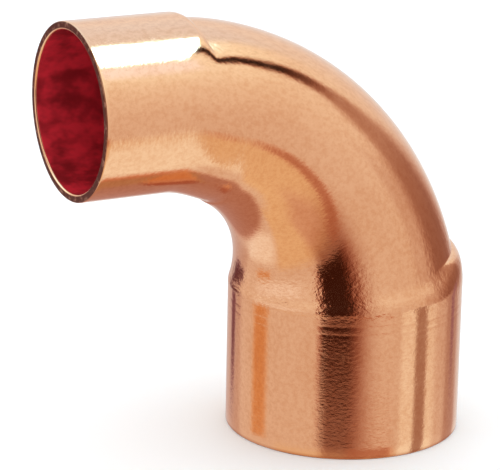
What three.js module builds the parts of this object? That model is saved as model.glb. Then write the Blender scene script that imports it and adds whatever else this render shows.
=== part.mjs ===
// A wrought copper pipe elbow for soldered joints. One end is a socket that a large tube slides
// into, and the other is a plain spigot that slides into a smaller socket, at ninety degrees.
// It is one length of seamless tube, bent, with one end swollen into the socket and the other sized.
// Millimetres. The elbow stands on its socket's mouth, on z = 0, and the spigot points along -x. The
// origin is under the middle of its length, and shapes are drawn about the socket's axis first.

import * as THREE from 'three';
import { LoftGeometry } from 'three/addons/geometries/LoftGeometry.js';

// Driving dimensions: the two tubes
const largeTubeDiameter = 54; // the tube that goes into the socket
const spigotDiameter = 42; // outside of the plain end
const solderGap = 0.1; // the socket is this much wider than its tube
const wall = 1.95; // thickness of the copper

// The socket and its rounded shoulder
const cupDepth = 33; // from the mouth to where the bore narrows and stops the tube
const stopRise = 4.5; // from the tube stop up to where the outside starts to round in
const innerDrop = 1.5; // it starts this much lower on the inside of the bend
const neckRise = 4.7; // from the top of the straight outside up to the middle of the neck
const shoulderWidth = 1.6; // how far the neck is in from the socket's outside

// The bend
const bendRadius = 50; // of the tube's centre line
const neckAngle = 8.4; // degrees of the bend that the shoulder swallows
const neckOffset = 0.9; // the bend's vertical leg is this far towards the spigot
const bendEndSwell = 0.25; // bent tube's radius over the spigot's, where they meet
const flarePower = 1.9; // how late the bent tube widens towards the neck

// The spigot
const spigotLength = 29.5; // from the mouth to the step where the bent tube begins
const outerCorner = 2.4; // the spigot's rounded corner at that step, on the outside of the bend
const innerCorner = 7; // the same on the inside of the bend, where it is a gentle slope
const stepAngle = 6.2; // degrees of the bend that the spigot swallows
const spigotRise = 1.5; // the spigot's axis lies this far above the top of the bend's arc
const uprightShare = 0.25; // last part of the bend, where its sections turn square to the spigot

// Broken edges at both mouths
const outerEdge = 0.35;
const innerEdge = 0.45;

// Mesh fineness
const around = 64; // a multiple of four, so that the widest points are vertices
const bendSteps = 18;
const shoulderSteps = 6;
const cornerSteps = 5;
const boreSteps = 4;

// Worked out from the above
const socketBoreRadius = (largeTubeDiameter + solderGap) / 2;
const socketRadius = socketBoreRadius + wall;
const spigotRadius = spigotDiameter / 2;
const neckRadius = socketRadius - shoulderWidth;
const bendEndRadius = spigotRadius + bendEndSwell;
const socketLength = cupDepth + stopRise;
const firstAngle = THREE.MathUtils.degToRad(neckAngle);
const lastAngle = Math.PI / 2 - THREE.MathUtils.degToRad(stepAngle);
const arcCentreX = -neckOffset - bendRadius;
const arcCentreZ = socketLength + neckRise - bendRadius * Math.sin(firstAngle);
const spigotZ = arcCentreZ + bendRadius + spigotRise;
const stepX = arcCentreX + bendRadius * Math.cos(lastAngle);
const mouthX = stepX - spigotLength;
const middleX = (mouthX + socketRadius) / 2;

// A flat cross-section: its centre in the xz plane, its tilt from level, and its half widths
function section(x, z, tilt, inPlane, across = inPlane) {
  return { x, z, tilt, inPlane, across };
}

function between(from, to, share) {
  return from + (to - from) * share;
}

function ease(share) {
  return share * share * (3 - 2 * share);
}

function level(z, radius) {
  return section(0, z, 0, radius);
}

function upright(x, radius) {
  return section(x, spigotZ, Math.PI / 2, radius);
}

// The points around a section. The first is on the outside of the bend, the middle one inside it.
function ring({ x, z, tilt, inPlane, across }) {
  return Array.from({ length: around }, (_, step) => {
    const angle = (step / around) * 2 * Math.PI;
    const reach = inPlane * Math.cos(angle);
    return new THREE.Vector3(
      x + reach * Math.cos(tilt),
      across * Math.sin(angle),
      z + reach * Math.sin(tilt),
    );
  });
}

// How far a point is towards the inside of the bend: 0 outside, 1 inside
function inward(step) {
  return (1 - Math.cos((step / around) * 2 * Math.PI)) / 2;
}

// The bent tube: share 0 is the neck and share 1 is the step at the spigot. Inset is 0 for the
// outside and the wall for the bore.
function bendSection(share, inset) {
  const angle = between(firstAngle, lastAngle, share);
  const flare = (neckRadius - bendEndRadius) * (1 - share) ** flarePower;
  const radius = bendEndRadius + flare - inset;
  const turn = ease(Math.max(0, 1 - (1 - share) / uprightShare));
  const tilt = between(angle, Math.PI / 2, turn);
  return section(
    arcCentreX + bendRadius * Math.cos(angle),
    arcCentreZ + bendRadius * Math.sin(angle),
    tilt,
    radius / Math.cos(tilt - angle),
    radius,
  );
}

function bend(inset) {
  return Array.from({ length: bendSteps + 1 }, (_, step) => (
    ring(bendSection(step / bendSteps, inset))
  ));
}

// Rings on the way from one to another, without the first. The run is the axis they travel
// along, and pace gives how far they have come along it and across it.
function blend(from, to, steps, run, pace) {
  return Array.from({ length: steps }, (_, step) => {
    const share = (step + 1) / steps;
    return from.map((start, place) => {
      const [along, across] = pace(share, inward(place));
      const point = start.clone().lerp(to[place], across);
      point[run] = between(start[run], to[place][run], along);
      return point;
    });
  });
}

// A quarter round that ends in a crease on the outside of the bend and in a slope inside it
function shoulderPace(share, towardsInside) {
  const angle = (share * Math.PI) / 2;
  const along = between(Math.sin(angle), share, towardsInside);
  return [along, between(1 - Math.cos(angle), ease(share), towardsInside)];
}

// The same, leaving the crease first
function cornerPace(share, towardsInside) {
  const angle = (share * Math.PI) / 2;
  const along = between(1 - Math.cos(angle), share, towardsInside);
  return [along, between(Math.sin(angle), ease(share), towardsInside)];
}

function smoothPace(share) {
  return [share, ease(share)];
}

// Where the socket's straight outside ends, lower towards the inside of the bend
function shoulderFoot() {
  const foot = ring(level(socketLength, socketRadius));
  foot.forEach((point, place) => {
    point.z -= innerDrop * inward(place);
  });
  return foot;
}

// Where the spigot's straight outside ends, further from the step towards the inside
function cornerEnd() {
  const end = ring(upright(stepX, spigotRadius));
  end.forEach((point, place) => {
    point.x -= between(outerCorner, innerCorner, inward(place));
  });
  return end;
}

function outside() {
  const arc = bend(0);
  const foot = shoulderFoot();
  return [
    ring(level(0, socketRadius - outerEdge)),
    ring(level(outerEdge, socketRadius)),
    foot,
    ...blend(foot, arc[0], shoulderSteps, 'z', shoulderPace),
    ...arc.slice(1),
    ...blend(arc[bendSteps], cornerEnd(), cornerSteps, 'x', cornerPace),
    ring(upright(mouthX + outerEdge, spigotRadius)),
    ring(upright(mouthX, spigotRadius - outerEdge)),
  ];
}

// The bore, listed from the socket to the spigot
function bore() {
  const arc = bend(wall);
  const boreRadius = spigotRadius - wall;
  const tubeStop = ring(level(cupDepth, socketBoreRadius));
  const spigotBoreStart = ring(upright(stepX - innerCorner, boreRadius));
  return [
    ring(level(0, socketBoreRadius + innerEdge)),
    ring(level(innerEdge, socketBoreRadius)),
    tubeStop,
    ...blend(tubeStop, arc[0], boreSteps, 'z', smoothPace),
    ...arc.slice(1),
    ...blend(arc[bendSteps], spigotBoreStart, boreSteps, 'x', smoothPace),
    ring(upright(mouthX + innerEdge, boreRadius)),
    ring(upright(mouthX, boreRadius + innerEdge)),
  ];
}

// One closed skin: out along the outside, over the spigot's rim, back through the bore, and
// over the socket's rim to the start
function elbowBody() {
  const outer = outside();
  const rings = [...outer, ...bore().reverse(), outer[0]];
  const copper = new THREE.MeshStandardMaterial({
    color: 0xd98e62,
    metalness: 1,
    roughness: 0.28,
  });
  const mesh = new THREE.Mesh(new LoftGeometry(rings), copper);
  mesh.name = 'elbow_body';
  mesh.position.x = -middleX;
  return mesh;
}

const elbow = new THREE.Group();
elbow.add(elbowBody());

export default elbow;
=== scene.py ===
import math

import bpy
from mathutils import Matrix, Vector


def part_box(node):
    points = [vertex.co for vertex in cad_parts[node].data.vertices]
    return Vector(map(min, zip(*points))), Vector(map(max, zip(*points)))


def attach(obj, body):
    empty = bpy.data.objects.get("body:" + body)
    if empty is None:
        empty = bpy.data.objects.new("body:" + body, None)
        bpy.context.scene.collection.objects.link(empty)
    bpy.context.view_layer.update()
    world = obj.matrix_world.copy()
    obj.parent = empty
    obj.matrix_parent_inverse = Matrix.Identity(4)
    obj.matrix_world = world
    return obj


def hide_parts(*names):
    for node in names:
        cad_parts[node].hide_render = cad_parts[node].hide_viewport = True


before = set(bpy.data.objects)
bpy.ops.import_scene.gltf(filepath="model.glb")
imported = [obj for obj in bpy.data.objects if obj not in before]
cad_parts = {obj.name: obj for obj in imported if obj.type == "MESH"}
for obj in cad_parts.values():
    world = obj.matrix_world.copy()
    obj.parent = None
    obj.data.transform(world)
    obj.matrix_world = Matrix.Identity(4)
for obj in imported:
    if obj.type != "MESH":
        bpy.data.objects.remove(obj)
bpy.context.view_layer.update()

low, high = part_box("elbow_body")
print("frame loaded")

# Sizes of the elbow's skin, in metres and degrees
elbow = {
    "spigotRadius": 0.0210,
    "wall": 0.00195,
    "cupDepth": 0.0330,          # socket mouth to the tube stop
    "stopRise": 0.0045,          # tube stop up to where the outside rounds in
    "innerDrop": 0.0015,         # it rounds in this much lower inside the bend
    "neckRise": 0.0047,
    "shoulderWidth": 0.0016,
    "bendRadius": 0.0500,
    "neckAngle": 8.4,
    "neckOffset": 0.0009,
    "bendEndSwell": 0.00025,
    "flarePower": 1.9,
    "spigotLength": 0.0295,
    "outerCorner": 0.0024,
    "innerCorner": 0.0080,
    "stepFrom": 0.92,            # where on the bend that soft step begins
    "stepAngle": 6.2,
    "spigotRise": 0.0015,
    "uprightShare": 0.25,
    "shoulderCrease": (44, 66),  # sharp this far round from the outside, then gone
    "stepCrease": (33, 54),
    "outerEdge": 0.00035,
    "innerEdge": 0.00045,
    "around": 192,
    "bendSteps": 150,
    "shoulderSteps": 40,
    "cornerSteps": 30,
    "boreSteps": 16,
    "edgeSteps": 5,
    "straightSteps": 24,
    "ringMarks": (0.0314, 0.0334),   # heights of the fine rings that the swelling tool left
    "markDepth": 0.000010,
    "markWidth": 0.0004,
    "markStretch": (0.0295, 0.0355),  # heights between which the skin is fine enough for them
    "markSteps": 60,
    "belowMarks": 10,            # rings of points from the mouth up to that stretch
    "aboveMarks": 3,
    "darkEndRings": (3, 1),         # how many rings over each edge the dark end colour covers: outer, inner
}

socketRadius = (high.y - low.y) / 2
socketX = high.x - socketRadius
spigotZ = high.z - elbow["spigotRadius"]
mouthX = low.x
boreRadius = elbow["spigotRadius"] - elbow["wall"]
socketBore = socketRadius - elbow["wall"]
stepX = mouthX + elbow["spigotLength"]
neckRadius = socketRadius - elbow["shoulderWidth"]
bendEndRadius = elbow["spigotRadius"] + elbow["bendEndSwell"]
socketLength = elbow["cupDepth"] + elbow["stopRise"]
firstAngle = math.radians(elbow["neckAngle"])
lastAngle = math.pi / 2 - math.radians(elbow["stepAngle"])
arcX = socketX - elbow["neckOffset"] - elbow["bendRadius"]
arcZ = socketLength + elbow["neckRise"] - elbow["bendRadius"] * math.sin(firstAngle)
angles = [2 * math.pi * step / elbow["around"] for step in range(elbow["around"])]


def between(start, end, share):
    return start + (end - start) * share


def ease(share):
    share = min(max(share, 0), 1)
    return share * share * (3 - 2 * share)


# The points of one flat section: first on the outside of the bend, middle one inside it
def ring(x, z, tilt, inPlane, across=None):
    across = inPlane if across is None else across
    return [Vector((x + inPlane * math.cos(angle) * math.cos(tilt),
                    across * math.sin(angle),
                    z + inPlane * math.cos(angle) * math.sin(tilt))) for angle in angles]


def level(z, radius):
    return ring(socketX, z, 0, radius)


def upright(x, radius):
    return ring(x, spigotZ, math.pi / 2, radius)


# How far round towards the inside of the bend each point is
inward = [(1 - math.cos(angle)) / 2 for angle in angles]


# How sharp a crease is at each point: 1 on the outside of the bend, fading to 0
def creaseOf(span):
    turned = [math.degrees(min(angle, 2 * math.pi - angle)) for angle in angles]
    return [1 - ease((turn - span[0]) / (span[1] - span[0])) for turn in turned]


shoulderCrease = creaseOf(elbow["shoulderCrease"])
stepCrease = creaseOf(elbow["stepCrease"])


def bendSection(share, inset):
    angle = between(firstAngle, lastAngle, share)
    flare = (neckRadius - bendEndRadius) * max(1 - share, 0) ** elbow["flarePower"]
    radius = bendEndRadius + flare - inset
    tilt = between(angle, math.pi / 2, ease(1 - (1 - share) / elbow["uprightShare"]))
    return ring(arcX + elbow["bendRadius"] * math.cos(angle),
                arcZ + elbow["bendRadius"] * math.sin(angle),
                tilt, radius / math.cos(tilt - angle), radius)


def bend(inset, steps):
    return [bendSection(step / steps, inset) for step in range(steps + 1)]


# The way the bent tube runs at one place along it, for each point round it
def runOut(share, inset):
    reach = 0.002
    here, there = bendSection(share, inset), bendSection(share + reach, inset)
    return [(b - a) / reach for a, b in zip(here, there)]


# One ring of a smooth skin between two rings, which leaves each the way it is told
def smoothSkin(start, startRun, end, endRun, share):
    s2, s3 = share * share, share ** 3
    return [a * (2 * s3 - 3 * s2 + 1) + b * (3 * s2 - 2 * s3)
            + ra * (s3 - 2 * s2 + share) + rb * (s3 - s2)
            for a, ra, b, rb in zip(start, startRun, end, endRun)]


# Runs of the right length for a skin of this reach
def fitRuns(runs, start, end):
    return [run.normalized() * (b - a).length for run, a, b in zip(runs, start, end)]


def straight(start, end, steps):
    return [[a.lerp(b, (step + 1) / steps) for a, b in zip(start, end)] for step in range(steps)]


# The socket's shoulder: a quarter round with a crease outside, a soft slope inside
def shoulder(foot, neck):
    up = [Vector((0, 0, 1))] * len(foot)
    startRun = fitRuns(up, foot, neck)
    endRun = fitRuns(runOut(0, 0), foot, neck)
    rings = []
    for step in range(1, elbow["shoulderSteps"] + 1):
        share = step / elbow["shoulderSteps"]
        smooth = smoothSkin(foot, startRun, neck, endRun, share)
        turn = share * math.pi / 2
        line = []
        for place, (a, b) in enumerate(zip(foot, neck)):
            sharp = a.lerp(b, 1 - math.cos(turn))
            sharp.z = between(a.z, b.z, math.sin(turn))
            line.append(smooth[place].lerp(sharp, shoulderCrease[place]))
        rings.append(line)
    return rings


# The end of the bend and the spigot's rounded corner: a crease outside, a long soft step inside
def corner(arc, cornerEnd):
    first = round(elbow["stepFrom"] * elbow["bendSteps"])
    rows = arc[first + 1:]
    softLength = elbow["bendRadius"] * (lastAngle - firstAngle) * (1 - elbow["stepFrom"])
    softShare = softLength / (softLength + elbow["innerCorner"])
    shares = [softShare * (step + 1) / len(rows) for step in range(len(rows))]
    for step in range(1, elbow["cornerSteps"] + 1):
        share = step / elbow["cornerSteps"]
        turn = share * math.pi / 2
        line = []
        for a, b in zip(arc[-1], cornerEnd):
            point = a.lerp(b, math.sin(turn))
            point.x = between(a.x, b.x, 1 - math.cos(turn))
            line.append(point)
        rows.append(line)
        shares.append(between(softShare, 1, share))
    startRun = fitRuns(runOut(elbow["stepFrom"], 0), arc[first], cornerEnd)
    endRun = fitRuns([Vector((-1, 0, 0))] * len(cornerEnd), arc[first], cornerEnd)
    rings = []
    for line, share in zip(rows, shares):
        soft = smoothSkin(arc[first], startRun, cornerEnd, endRun, share)
        rings.append([a.lerp(b, sharp) for a, b, sharp in zip(soft, line, stepCrease)])
    return arc[:first + 1] + rings


# The socket's outside where the tool's fine rings run round it
def markedStretch(start, end):
    rings = []
    for step in range(elbow["markSteps"] + 1):
        z = between(start, end, step / elbow["markSteps"])
        dip = sum(math.exp(-((z - mark) / elbow["markWidth"]) ** 2)
                  for mark in elbow["ringMarks"])
        rings.append(level(z, socketRadius - elbow["markDepth"] * dip))
    return rings


# The rounded edges at both mouths. Towards is -1 on the outside and 1 in the bore.
def mouthEdges(socketEnd, spigotEnd, edge, towards):
    steps = elbow["edgeSteps"]
    turns = [step / steps * math.pi / 2 for step in range(steps + 1)]
    lower = [level(edge * (1 - math.sin(turn)), socketEnd + towards * edge * (1 - math.cos(turn)))
             for turn in reversed(turns)]
    upper = [upright(mouthX + edge * (1 - math.sin(turn)),
                     spigotEnd + towards * edge * (1 - math.cos(turn))) for turn in turns]
    return lower, upper


# Rings that ease from one to another while they travel evenly along an axis
def easedRings(start, end, axis):
    rings = []
    for step in range(1, elbow["boreSteps"] + 1):
        share = step / elbow["boreSteps"]
        line = [a.lerp(b, ease(share)) for a, b in zip(start, end)]
        for point, a, b in zip(line, start, end):
            point[axis] = between(a[axis], b[axis], share)
        rings.append(line)
    return rings


def outside():
    foot = level(socketLength, socketRadius)
    for point, share in zip(foot, inward):
        point.z -= elbow["innerDrop"] * share
    arc = bend(0, elbow["bendSteps"])
    end = upright(stepX, elbow["spigotRadius"])
    for point, sharp in zip(end, stepCrease):
        point.x -= between(elbow["innerCorner"], elbow["outerCorner"], sharp)
    lower, upper = mouthEdges(socketRadius, elbow["spigotRadius"], elbow["outerEdge"], -1)
    marks = markedStretch(*elbow["markStretch"])
    return (lower + straight(lower[-1], marks[0], elbow["belowMarks"]) + marks[1:]
            + straight(marks[-1], foot, elbow["aboveMarks"])
            + shoulder(foot, arc[0]) + corner(arc, end)[1:]
            + straight(end, upper[0], elbow["straightSteps"]) + upper[1:])


def bore():
    arc = bend(elbow["wall"], elbow["bendSteps"] // 2)
    stop = level(elbow["cupDepth"], socketBore)
    start = upright(stepX - elbow["innerCorner"], boreRadius)
    lower, upper = mouthEdges(socketBore, boreRadius, elbow["innerEdge"], 1)
    xAxis, zAxis = 0, 2
    return (lower + straight(lower[-1], stop, elbow["straightSteps"])
            + easedRings(stop, arc[0], zAxis) + arc[1:] + easedRings(arc[-1], start, xAxis)
            + straight(start, upper[0], elbow["straightSteps"]) + upper[1:])


def closedSkin(name, rings):
    around = elbow["around"]
    points = [tuple(point) for line in rings for point in line]
    faces = []
    for row in range(len(rings)):
        nextRow = (row + 1) % len(rings)
        for place in range(around):
            beside = (place + 1) % around
            faces.append((row * around + place, row * around + beside,
                          nextRow * around + beside, nextRow * around + place))
    mesh = bpy.data.meshes.new(name)
    mesh.from_pydata(points, [], faces)
    mesh.validate()
    mesh.shade_smooth()
    piece = bpy.data.objects.new(name, mesh)
    bpy.context.scene.collection.objects.link(piece)
    return piece


# What the material reads at each point: the tube as if unbent, and where it is bore, sawn end
# or rubbed edge
def skinMarks(piece, outer, inner):
    run, inBore, cutEnd, rubbed = [], [], [], []
    travelled, lastMiddle = 0, None
    edgeRings = elbow["edgeSteps"] + 1
    for rings, isBore in ((outer, 0), (inner, 1)):
        for row, line in enumerate(rings):
            middle = sum(line, Vector()) / len(line)
            travelled += 0 if lastMiddle is None else (middle - lastMiddle).length
            lastMiddle = middle
            radius = sum((point - middle).length for point in line) / len(line)
            fromEnd = min(row, len(rings) - 1 - row)
            for angle in angles:
                run.extend((radius * math.cos(angle), radius * math.sin(angle), travelled))
                inBore.append(float(isBore and fromEnd >= edgeRings - 1))
                cutEnd.append(float(fromEnd < elbow["darkEndRings"][isBore]))
                rubbed.append(float(fromEnd < edgeRings))
    for name, values, kind, field in (("tubeRun", run, "FLOAT_VECTOR", "vector"),
                                      ("inBore", inBore, "FLOAT", "value"),
                                      ("cutEnd", cutEnd, "FLOAT", "value"),
                                      ("rubbed", rubbed, "FLOAT", "value")):
        attribute = piece.data.attributes.new(name, kind, "POINT")
        attribute.data.foreach_set(field, values)


outerRings = outside()
innerRings = list(reversed(bore()))
body = closedSkin("elbow_skin", outerRings + innerRings)
skinMarks(body, outerRings, innerRings)
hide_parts("elbow_body")
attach(body, "root")
print("elbow skin made:", len(body.data.polygons), "faces")


# One socket of a node tree, so that shader maths reads as Python
class Wire:
    def __init__(self, tree, socket=None):
        self.tree = tree
        self.socket = socket

    # Adds any node: its type, its settings, then the values or links of its sockets
    def node(self, kind, settings=None, sockets=None, give=0):
        made = self.tree.nodes.new(kind)
        for name, value in (settings or {}).items():
            if name == "stops":
                ramp = made.color_ramp
                while len(ramp.elements) < len(value):
                    ramp.elements.new(1)
                for element, (place, grey) in zip(ramp.elements, value):
                    element.position = place
                    element.color = (grey, grey, grey, 1)
            else:
                setattr(made, name, value)
        for name, value in (sockets or {}).items():
            if isinstance(value, Wire):
                self.tree.links.new(value.socket, made.inputs[name])
            else:
                made.inputs[name].default_value = value
        return Wire(self.tree, made.outputs[give] if made.outputs else None)

    def maths(self, operation, *values):
        return self.node("ShaderNodeMath", {"operation": operation}, dict(enumerate(values)))

    def __add__(self, other):
        return self.maths("ADD", self, other)

    def __radd__(self, other):
        return self.maths("ADD", other, self)

    def __sub__(self, other):
        return self.maths("SUBTRACT", self, other)

    def __rsub__(self, other):
        return self.maths("SUBTRACT", other, self)

    def __mul__(self, other):
        return self.maths("MULTIPLY", self, other)

    def __rmul__(self, other):
        return self.maths("MULTIPLY", other, self)

    def __truediv__(self, other):
        return self.maths("DIVIDE", self, other)

    def __pow__(self, other):
        return self.maths("POWER", self, other)

    def __neg__(self):
        return self.maths("MULTIPLY", self, -1)

    def __abs__(self):
        return self.maths("ABSOLUTE", self)

    # 0 below one value, 1 above the other, and smooth between them
    def rise(self, start, end):
        return self.node("ShaderNodeMapRange", {"interpolation_type": "SMOOTHSTEP"},
                         {"Value": self, "From Min": start, "From Max": end})

    def colourMix(self, one, other):
        return self.node("ShaderNodeMix", {"data_type": "RGBA"}, {0: self, 6: one, 7: other},
                         give=2)

    def noise(self, place, scale, detail=2.0, roughness=0.5, stretch=(1, 1, 1)):
        moved = self.node("ShaderNodeVectorMath", {"operation": "MULTIPLY"},
                          {0: place, 1: stretch})
        return self.node("ShaderNodeTexNoise", {"noise_dimensions": "3D"},
                         {"Vector": moved, "Scale": scale, "Detail": detail,
                          "Roughness": roughness})


# Copper: colours are linear, and marks are sized in metres
copper = {
    "bright": (0.82, 0.41, 0.225, 1),
    "tanned": (0.71, 0.305, 0.148, 1),
    "oxide": (0.70, 0.029, 0.049, 1),
    "oxideDark": (0.27, 0.011, 0.017, 1),
    "cutEnd": (0.125, 0.024, 0.010, 1),
    "cutBright": (0.42, 0.19, 0.12, 1),
    "foot": (0.50, 0.165, 0.070, 1),     # painted shade: a darker line round the socket's mouth, where it stands on the floor
    "polish": 0.10,              # roughness of the outside
    "polishSpread": 0.05,
    "boreRoughness": 0.34,
    "cutRoughness": 0.42,
    "boreMetal": 0.25,           # how metallic the oxide is
    "tanSize": 0.018,            # patches of tan
    "tanAmount": 0.3,
    "speckSize": 0.0012,         # specks of tan
    "speckAmount": 0.6,
    "streakSize": 0.0065,        # dark cloud in the oxide
    "sawnSize": 0.0016,          # bright marks on the sawn ends
    "footShadeRise": (0.0002, 0.0011),    # that painted shade fades out between these heights
    "footShadeAmount": 0.75,
    "cloudSize": 0.004,          # change of polish
    "peelSize": 0.00070,         # ripple left by the dies
    "peelHeight": 0.0000190,
    "coarseSize": 0.0014,        # coarser ripple on and above the shoulder, where it was drawn in
    "coarseHeight": 0.000085,
    "coarseFrom": (-0.004, 0.0),     # it comes and goes over these, from the socket's top
    "coarseTo": (0.008, 0.022),
    "turnSize": 0.00022,         # fine rings left by the sizing tool
    "turnHeight": 0.0000006,
    "scratchSize": 0.0032,
    "scratchWidth": 0.006,       # share of the noise's range
    "scratchBreak": 0.006,       # length after which a scratch stops or starts
    "scratchDepth": 0.0000015,
    "scratchRoughness": 0.12,
}


def makeCopper():
    material = bpy.data.materials.new("satin_copper")
    material.use_nodes = True
    tree = material.node_tree
    tree.nodes.clear()
    wire = Wire(tree)
    run = wire.node("ShaderNodeAttribute", {"attribute_name": "tubeRun"}, give="Vector")
    inBore = wire.node("ShaderNodeAttribute", {"attribute_name": "inBore"}, give="Fac")
    cut = wire.node("ShaderNodeAttribute", {"attribute_name": "cutEnd"}, give="Fac")
    rubbed = wire.node("ShaderNodeAttribute", {"attribute_name": "rubbed"}, give="Fac")

    # Colour: patches of tan, rubbed bright on the edges, red oxide inside, dark ends, and painted
    # shade where the socket stands on the floor
    patches = wire.noise(run, 1 / copper["tanSize"], 3.0, 0.6, (1, 1, 0.6)).rise(0.42, 0.66)
    speckle = wire.noise(run, 1 / copper["speckSize"], 3.0, 0.72).rise(0.36, 0.70)
    tan = (patches * copper["tanAmount"] + speckle * copper["speckAmount"]) * (1 - rubbed)
    skin = tan.colourMix(copper["bright"], copper["tanned"])
    streaks = wire.noise(run, 1 / copper["streakSize"], 3.0, 0.65, (1, 1, 0.7))
    streaks = streaks.rise(0.36, 0.68)
    lining = streaks.colourMix(copper["oxide"], copper["oxideDark"])
    lined = inBore.colourMix(skin, lining)
    travelled = wire.node("ShaderNodeSeparateXYZ", None, {0: run}, give="Z")
    # Painted shade: a darker line at the foot of the socket, where it stands on the floor
    foot = (1 - travelled.rise(*copper["footShadeRise"])) * (1 - inBore)
    lined = (foot * copper["footShadeAmount"]).colourMix(lined, copper["foot"])
    sawn = wire.noise(run, 1 / copper["sawnSize"], 3.0, 0.7, (1, 1, 0.2)).rise(0.50, 0.72)
    colour = cut.colourMix(lined, sawn.colourMix(copper["cutEnd"], copper["cutBright"]))

    # Scratches: thin broken lines where a drawn-out noise crosses its middle value
    drift = wire.noise(run, 1 / copper["scratchSize"], 2.0, 0.55, (1.0, 1.0, 0.12))
    line = 1 - abs(drift - 0.5).rise(0.0, copper["scratchWidth"])
    broken = wire.noise(run, 1 / copper["scratchBreak"], 1.0).rise(0.55, 0.62)
    scratch = line * broken * (1 - inBore)

    cloud = wire.noise(run, 1 / copper["cloudSize"], 3.0, 0.6)
    satin = (copper["polish"] + (cloud - 0.5) * copper["polishSpread"] * 2
             + scratch * copper["scratchRoughness"])
    rough = between(satin, copper["boreRoughness"], inBore)
    rough = between(rough, copper["cutRoughness"], cut)

    # Relief: die ripple, fine rings round the tube, coarser ripple at the shoulder, scratches
    peel = wire.noise(run, 1 / copper["peelSize"], 3.0, 0.55, (0.6, 0.6, 1.0))
    turned = wire.noise(run, 1 / copper["turnSize"], 1.0, 0.5, (0.04, 0.04, 1.0))
    aboveSocket = travelled - socketLength
    drawn = (aboveSocket.rise(*copper["coarseFrom"])
             * (1 - aboveSocket.rise(*copper["coarseTo"])))
    coarse = wire.noise(run, 1 / copper["coarseSize"], 2.0, 0.6)
    height = (peel * copper["peelHeight"] + turned * copper["turnHeight"]
              + coarse * drawn * copper["coarseHeight"] - scratch * copper["scratchDepth"])
    bump = wire.node("ShaderNodeBump", None, {"Strength": 1.0, "Distance": 1.0,
                                              "Height": height})
    shader = wire.node("ShaderNodeBsdfPrincipled", None,
                       {"Base Color": colour, "Roughness": rough, "Normal": bump,
                        "Metallic": 1 - inBore * (1 - copper["boreMetal"])})
    wire.node("ShaderNodeOutputMaterial", None, {"Surface": shader})
    return material


body.data.materials.append(makeCopper())
print("copper made")

# The studio around the elbow. Directions are in degrees: round from the front, and up. A panel
# fades in between its first two angles and out between its last two, and later ones cover
# earlier ones. Only mirrored rays see them.
studio = {
    "byHeight": ((-90, 1.05), (-60, 0.90), (-22, 0.90), (-12, 0.96), (0, 0.98), (20, 1.14),
                 (33, 1.3), (46, 1.6), (60, 1.75), (90, 1.6)),
    "brightest": 2.0,
    "redFloor": 0.12,            # lower makes the dim reflections redder
    "bluePower": 1.12,
    "shownWhite": (1.0, 1.0, 1.0, 1),
    "softLight": (1.3, 1.3, 1.3, 1),
}

panels = {
    "goldFloor": {"round": (-108, -94, 24, 32), "up": (-82, -72, -32, -20),
                  "red": 1.07, "blue": 0.76},
    "backHigh": {"bothSides": True, "round": (104, 122, 200, 210), "up": (20, 46, 95, 100),
                 "light": 1.36, "red": 0.90, "blue": 1.24},
    "dimFloor": {"round": (-60, -44, -22, 0), "up": (-64, -50, -38, -28), "light": 0.66,
                 "red": 1.10, "blue": 0.88},
    "leftFloor": {"round": (-160, -146, -114, -94), "up": (-62, -52, -34, -26), "light": 1.3,
                  "blue": 1.05},
    "horizon": {"round": (-30, -18, 16, 27), "up": (-33, -28, -24, -20.5), "light": 0.34,
                "red": 1.22, "blue": 0.85},
    "dimFront": {"round": (-57, -43, -26, 12), "up": (-44, -22, 60, 80), "light": 0.23},
    "blackFront": {"round": (-59, -50, -28, -3), "up": (-20.4, -19.2, 60, 80),
                   "light": 0.015, "red": 1.2},
    "leftLow": {"round": (-134, -118, -86, -60), "up": (-14, -8, -4, 4), "light": 1.3,
                "blue": 1.1},
    "frontFloor": {"round": (26, 32, 66, 78), "up": (-72, -62, -24, -12), "light": 1.4},
    "frontHigh": {"round": (28, 38, 50, 58), "up": (40, 48, 54, 58), "light": 1.75,
                  "blue": 1.25},
    "backSoftbox": {"round": (-165, -155, -125, -115), "up": (8, 14, 48, 54), "light": 2.4},
    "leftGap": {"round": (-106, -100, -94, -88), "up": (14, 22, 60, 66), "light": 0.12},
    "rightStrip": {"round": (43, 47, 57, 62), "up": (-50, -36, -16, -13), "light": 0.38,
                   "red": 0.95},
    "sideDim": {"round": (46, 58, 80, 90), "up": (-18, -12, 8, 16), "light": 0.74},
    "underStrip": {"round": (70, 84, 124, 136), "up": (-76, -72, -64, -61), "light": 0.34,
                   "red": 1.45, "blue": 0.7},
    "orangeStrip": {"round": (-133, -125, -116, -107), "up": (-22.6, -21.4, -17.5, -15),
                    "light": 0.50, "red": 1.30, "blue": 0.52},
    "rightDim": {"round": (86, 95, 112, 122), "up": (-40, -32, -14, -10), "light": 0.45},
    "behind": {"bothSides": True, "round": (146, 158, 200, 210), "up": (-38, -28, -4, 2),
               "light": 0.62},
    "leftBlock": {"round": (-182, -178, -156, -150), "up": (-17.6, -16.8, -8, -5),
                  "light": 0.07, "blue": 1.7},
    "leftEdge": {"round": (-177, -174, -167, -164), "up": (-20.0, -19.2, -18, -16),
                 "light": 0.10, "blue": 1.7},
    "rightEdge": {"round": (99, 101, 105, 108), "up": (-19.4, -18.8, -12, -9),
                  "light": 0.12, "blue": 1.6},
    "overhead": {"round": (40, 50, 104, 110), "up": (56, 60, 84, 88), "light": 12.0,
                 "blue": 1.2},
}

# The gap between the right-hand panels, which leans, and widens towards the floor
gap = {
    "middle": 83,
    "lowLean": (20, 0.55),       # below this height the middle moves round by this per degree
    "highLean": (38, 0.75),      # above this one it moves back
    "half": 9,
    "widening": (30, 0.5),
    "edge": (0.45, 1.4),
    "up": (-24, -9, 56, 59),
    "byHeight": ((-45, 0.9), (-30, 0.5), (-20, 0.45), (-10, 0.2), (0, 0.22), (10, 0.33),
                 (18, 0.45), (27, 0.42), (34, 0.08), (40, 0.01), (60, 0.01)),
}

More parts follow.
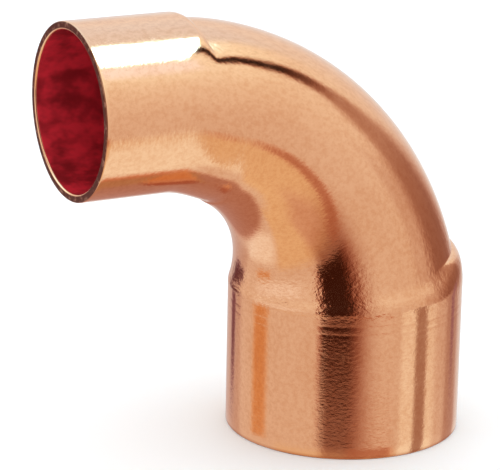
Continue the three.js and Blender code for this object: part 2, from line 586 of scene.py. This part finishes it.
# Shade below and behind the elbow
shade = {
    "towards": (0.16, 0.45, -0.88),
    "edge": (0.82, 0.885),
    "light": 0.36,
    "red": 1.08,
}


def ramped(up, stops, brightest):
    places = [((place + 90) / 180, light / brightest) for place, light in stops]
    return up.node("ShaderNodeValToRGB", {"stops": places}, {"Fac": (up + 90) / 180}) * brightest


# 1 between the two middle values of four, fading to 0 at the outer two
def band(value, span):
    return value.rise(span[0], span[1]) * (1 - value.rise(span[2], span[3]))


def gapMask(around, up):
    lowFrom, lowLean = gap["lowLean"]
    highFrom, highLean = gap["highLean"]
    wideFrom, widening = gap["widening"]
    middle = (gap["middle"] + up.maths("MAXIMUM", lowFrom - up, 0) * lowLean
              - up.maths("MAXIMUM", up - highFrom, 0) * highLean)
    half = gap["half"] + up.maths("MAXIMUM", wideFrom - up, 0) * widening
    fromMiddle = abs(around - middle) / half
    return (1 - fromMiddle.rise(*gap["edge"])) * band(up, gap["up"])


def makeStudio():
    world = bpy.data.worlds.new("studio")
    bpy.context.scene.world = world
    world.use_nodes = True
    tree = world.node_tree
    tree.nodes.clear()
    wire = Wire(tree)
    way = wire.node("ShaderNodeTexCoord", give="Generated")
    x, y, z = [wire.node("ShaderNodeSeparateXYZ", None, {0: way}, give=axis) for axis in "XYZ"]
    degree = math.degrees(1)
    around = wire.maths("ARCTAN2", x, -y) * degree
    up = wire.maths("ARCSINE", z) * degree
    light = ramped(up, studio["byHeight"], studio["brightest"])
    redTint, blueTint = 1, 1
    for panel in panels.values():
        side = abs(around) if panel.get("bothSides") else around
        mask = band(side, panel["round"]) * band(up, panel["up"])
        if "light" in panel:
            light = between(light, panel["light"], mask)
        if "red" in panel:
            redTint = between(redTint, panel["red"], mask)
        if "blue" in panel:
            blueTint = between(blueTint, panel["blue"], mask)
    light = between(light, ramped(up, gap["byHeight"], 1), gapMask(around, up))

    towards = wire.node("ShaderNodeVectorMath", {"operation": "DOT_PRODUCT"},
                        {0: way, 1: tuple(Vector(shade["towards"]).normalized())}, give="Value")
    shaded = towards.rise(*shade["edge"])
    light = between(light, shade["light"], shaded)
    redTint = between(redTint, shade["red"], shaded)

    # Mirrored rays see the panels, the camera sees white, and the soft light is even
    red = light / (light + studio["redFloor"]) ** 0.5 * redTint
    blue = light ** studio["bluePower"] * blueTint
    mirrored = wire.node("ShaderNodeCombineXYZ", None, {0: red, 1: light, 2: blue})
    isMirrored = wire.node("ShaderNodeLightPath", give="Is Glossy Ray")
    isCamera = wire.node("ShaderNodeLightPath", give="Is Camera Ray")
    shown = isCamera.colourMix(studio["softLight"], studio["shownWhite"])
    colour = isMirrored.colourMix(shown, mirrored)
    background = wire.node("ShaderNodeBackground", None, {"Color": colour, "Strength": 1.0})
    wire.node("ShaderNodeOutputWorld", None, {"Surface": background})


makeStudio()
bpy.context.scene.view_settings.view_transform = "Standard"
print("studio made")

# Floor
floorLook = {"size": 6.0, "colour": (0.92, 0.92, 0.92, 1), "roughness": 0.7}


def makeFloor():
    half = floorLook["size"] / 2
    mesh = bpy.data.meshes.new("floor")
    mesh.from_pydata([(-half, -half, 0), (half, -half, 0), (half, half, 0), (-half, half, 0)],
                     [], [(0, 1, 2, 3)])
    floor = bpy.data.objects.new("floor", mesh)
    bpy.context.scene.collection.objects.link(floor)
    material = bpy.data.materials.new("pale_floor")
    material.use_nodes = True
    shader = material.node_tree.nodes["Principled BSDF"]
    shader.inputs["Base Color"].default_value = floorLook["colour"]
    shader.inputs["Roughness"].default_value = floorLook["roughness"]
    mesh.materials.append(material)
    floor.visible_glossy = False


makeFloor()

# Camera
view = {
    "azimuth": -28.328,
    "elevation": 16.465,
    "roll": 1.173,
    "aim": (-0.00398, 0.0, 0.05122),
    "distance": 0.6464,
    "lens": 192.87,
}


def makeCamera():
    data = bpy.data.cameras.new("camera")
    data.sensor_width = 36
    data.lens = view["lens"]
    data.clip_start = 0.01
    camera = bpy.data.objects.new("camera", data)
    bpy.context.scene.collection.objects.link(camera)
    side, rise = math.radians(view["azimuth"]), math.radians(view["elevation"])
    back = Vector((math.sin(side) * math.cos(rise), -math.cos(side) * math.cos(rise),
                   math.sin(rise)))
    right = Vector((math.cos(side), math.sin(side), 0))
    up = back.cross(right)
    roll = math.radians(view["roll"])
    rolledRight = right * math.cos(roll) + up * math.sin(roll)
    rolledUp = up * math.cos(roll) - right * math.sin(roll)
    place = Vector(view["aim"]) + back * view["distance"]
    turn = Matrix((rolledRight, rolledUp, back)).transposed()
    camera.matrix_world = Matrix.Translation(place) @ turn.to_4x4()
    return camera


bpy.context.scene.camera = makeCamera()
print("camera placed")
